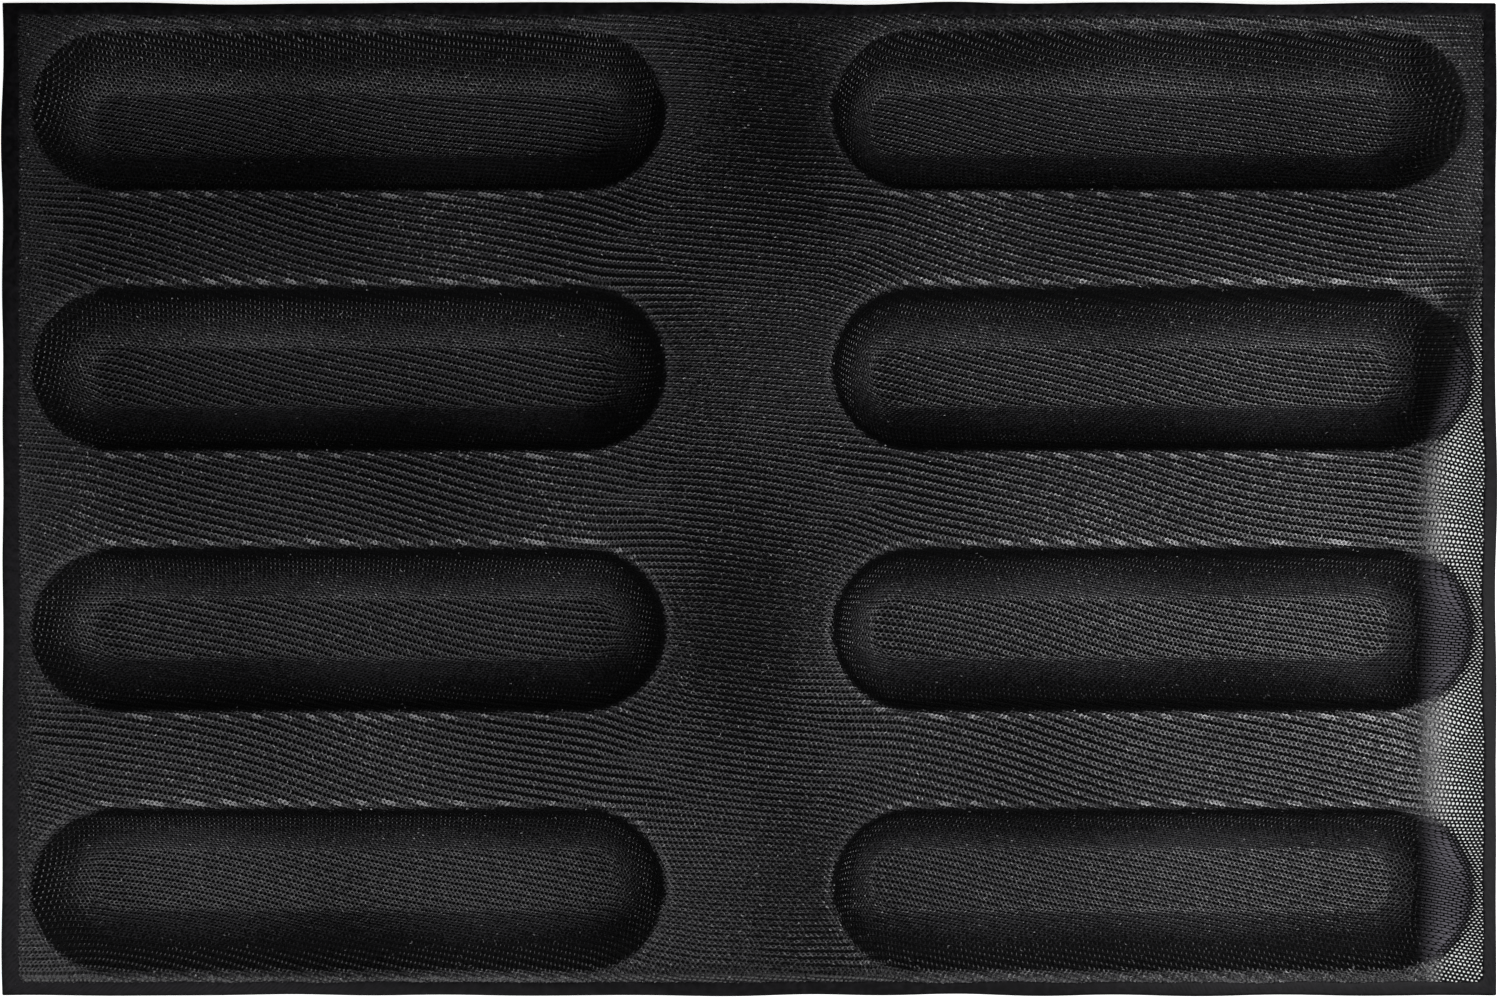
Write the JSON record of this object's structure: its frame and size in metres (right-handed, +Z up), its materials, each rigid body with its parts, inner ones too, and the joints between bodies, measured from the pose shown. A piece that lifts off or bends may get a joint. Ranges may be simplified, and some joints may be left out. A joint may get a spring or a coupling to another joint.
{
  "type": "baguette tray",
  "caption": "Flexible silicone-coated mesh baking form with long round-ended troughs for baguettes and a sealed edge.",
  "frame": {"origin": "under the middle of the tray, at the level of the trough floors that it stands on", "axes": "+X along the troughs, +Y towards the back row, +Z up out of the troughs"},
  "size_m": [0.6, 0.4, 0.0271],
  "materials": {
    "mesh": "silicone-coated knitted glass-fibre mesh, slightly glossy strands",
    "seal": "smooth satin silicone"
  },
  "bodies": {
    "root": {"mesh_deck": "mesh", "trough_left_1": "mesh", "trough_left_2": "mesh", "trough_left_3": "mesh", "trough_left_4": "mesh", "trough_right_1": "mesh", "trough_right_2": "mesh", "trough_right_3": "mesh", "trough_right_4": "mesh", "edge_seal_front": "seal", "edge_seal_back": "seal", "edge_seal_left": "seal", "edge_seal_right": "seal"}
  },
  "joints": []
}
